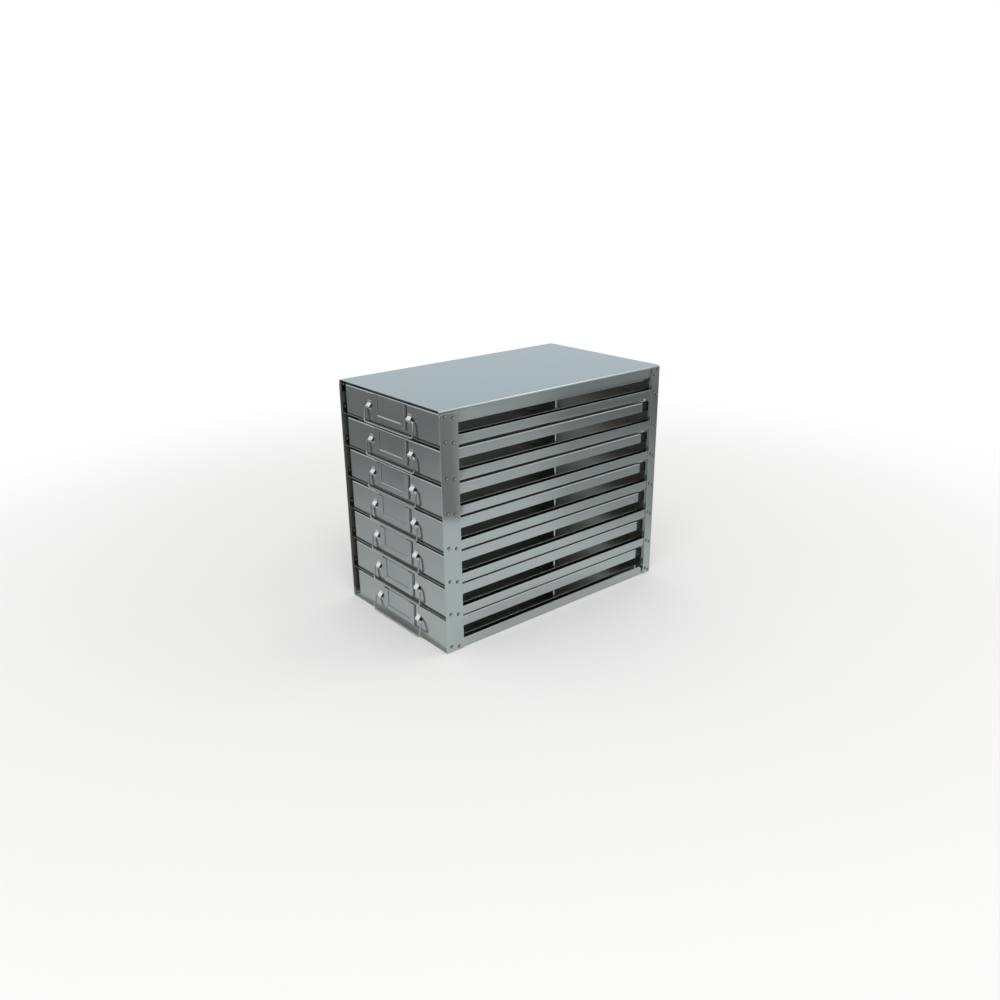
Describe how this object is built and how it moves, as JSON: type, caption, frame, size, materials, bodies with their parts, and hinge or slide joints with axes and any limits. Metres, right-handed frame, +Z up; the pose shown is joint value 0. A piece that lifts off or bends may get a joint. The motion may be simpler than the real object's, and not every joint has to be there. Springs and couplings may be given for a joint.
{
  "type": "freezer drawer rack",
  "caption": "Free-standing stainless sheet-metal rack with stacked sliding drawers, each with a divider, a label pocket and a swinging wire handle.",
  "frame": {"origin": "middle of the rack's footprint, on the plane that it stands on", "axes": "+X to the right seen from the front, +Y from the drawer fronts to the rear, +Z up"},
  "size_m": [0.2888, 0.4887, 0.401],
  "materials": {
    "frame_steel": "satin",
    "drawer_steel": "satin",
    "wire_steel": "polished",
    "rivet_steel": "worn"
  },
  "bodies": {
    "frame": {"top_panel": "frame_steel", "bottom_panel": "frame_steel", "shelf_1": "frame_steel", "shelf_2": "frame_steel", "shelf_3": "frame_steel", "shelf_4": "frame_steel", "shelf_5": "frame_steel", "shelf_6": "frame_steel", "post_front_left": "frame_steel", "post_front_right": "frame_steel", "post_rear_left": "frame_steel", "post_rear_right": "frame_steel", "rivets_front_left": "rivet_steel", "rivets_front_right": "rivet_steel", "rivets_rear_left": "rivet_steel", "rivets_rear_right": "rivet_steel"},
    "drawer_1": {"drawer_1_tray": "drawer_steel", "drawer_1_front": "drawer_steel", "drawer_1_divider": "drawer_steel", "drawer_1_label_holder": "drawer_steel", "drawer_1_clips": "wire_steel"},
    "bail_1": {"drawer_1_bail": "wire_steel"},
    "drawer_2": {"drawer_2_tray": "drawer_steel", "drawer_2_front": "drawer_steel", "drawer_2_divider": "drawer_steel", "drawer_2_label_holder": "drawer_steel", "drawer_2_clips": "wire_steel"},
    "bail_2": {"drawer_2_bail": "wire_steel"},
    "drawer_3": {"drawer_3_tray": "drawer_steel", "drawer_3_front": "drawer_steel", "drawer_3_divider": "drawer_steel", "drawer_3_label_holder": "drawer_steel", "drawer_3_clips": "wire_steel"},
    "bail_3": {"drawer_3_bail": "wire_steel"},
    "drawer_4": {"drawer_4_tray": "drawer_steel", "drawer_4_front": "drawer_steel", "drawer_4_divider": "drawer_steel", "drawer_4_label_holder": "drawer_steel", "drawer_4_clips": "wire_steel"},
    "bail_4": {"drawer_4_bail": "wire_steel"},
    "drawer_5": {"drawer_5_tray": "drawer_steel", "drawer_5_front": "drawer_steel", "drawer_5_divider": "drawer_steel", "drawer_5_label_holder": "drawer_steel", "drawer_5_clips": "wire_steel"},
    "bail_5": {"drawer_5_bail": "wire_steel"},
    "drawer_6": {"drawer_6_tray": "drawer_steel", "drawer_6_front": "drawer_steel", "drawer_6_divider": "drawer_steel", "drawer_6_label_holder": "drawer_steel", "drawer_6_clips": "wire_steel"},
    "bail_6": {"drawer_6_bail": "wire_steel"},
    "drawer_7": {"drawer_7_tray": "drawer_steel", "drawer_7_front": "drawer_steel", "drawer_7_divider": "drawer_steel", "drawer_7_label_holder": "drawer_steel", "drawer_7_clips": "wire_steel"},
    "bail_7": {"drawer_7_bail": "wire_steel"}
  },
  "joints": [
    {"name": "drawer_1_slide", "type": "slide", "parent": "frame", "child": "drawer_1", "axis": [0, -1, 0], "range_m": [0, 0.34]},
    {"name": "bail_1_swing", "type": "hinge", "parent": "drawer_1", "child": "bail_1", "pos_m": [0, -0.2388, 0.3695], "axis": [-1, 0, 0], "range_deg": [0, 120]},
    {"name": "drawer_2_slide", "type": "slide", "parent": "frame", "child": "drawer_2", "axis": [0, -1, 0], "range_m": [0, 0.34]},
    {"name": "bail_2_swing", "type": "hinge", "parent": "drawer_2", "child": "bail_2", "pos_m": [0, -0.2388, 0.3125], "axis": [-1, 0, 0], "range_deg": [0, 120]},
    {"name": "drawer_3_slide", "type": "slide", "parent": "frame", "child": "drawer_3", "axis": [0, -1, 0], "range_m": [0, 0.34]},
    {"name": "bail_3_swing", "type": "hinge", "parent": "drawer_3", "child": "bail_3", "pos_m": [0, -0.2388, 0.2555], "axis": [-1, 0, 0], "range_deg": [0, 120]},
    {"name": "drawer_4_slide", "type": "slide", "parent": "frame", "child": "drawer_4", "axis": [0, -1, 0], "range_m": [0, 0.34]},
    {"name": "bail_4_swing", "type": "hinge", "parent": "drawer_4", "child": "bail_4", "pos_m": [0, -0.2388, 0.1985], "axis": [-1, 0, 0], "range_deg": [0, 120]},
    {"name": "drawer_5_slide", "type": "slide", "parent": "frame", "child": "drawer_5", "axis": [0, -1, 0], "range_m": [0, 0.34]},
    {"name": "bail_5_swing", "type": "hinge", "parent": "drawer_5", "child": "bail_5", "pos_m": [0, -0.2388, 0.1415], "axis": [-1, 0, 0], "range_deg": [0, 120]},
    {"name": "drawer_6_slide", "type": "slide", "parent": "frame", "child": "drawer_6", "axis": [0, -1, 0], "range_m": [0, 0.34]},
    {"name": "bail_6_swing", "type": "hinge", "parent": "drawer_6", "child": "bail_6", "pos_m": [0, -0.2388, 0.0845], "axis": [-1, 0, 0], "range_deg": [0, 120]},
    {"name": "drawer_7_slide", "type": "slide", "parent": "frame", "child": "drawer_7", "axis": [0, -1, 0], "range_m": [0, 0.34]},
    {"name": "bail_7_swing", "type": "hinge", "parent": "drawer_7", "child": "bail_7", "pos_m": [0, -0.2388, 0.0275], "axis": [-1, 0, 0], "range_deg": [0, 110]}
  ]
}
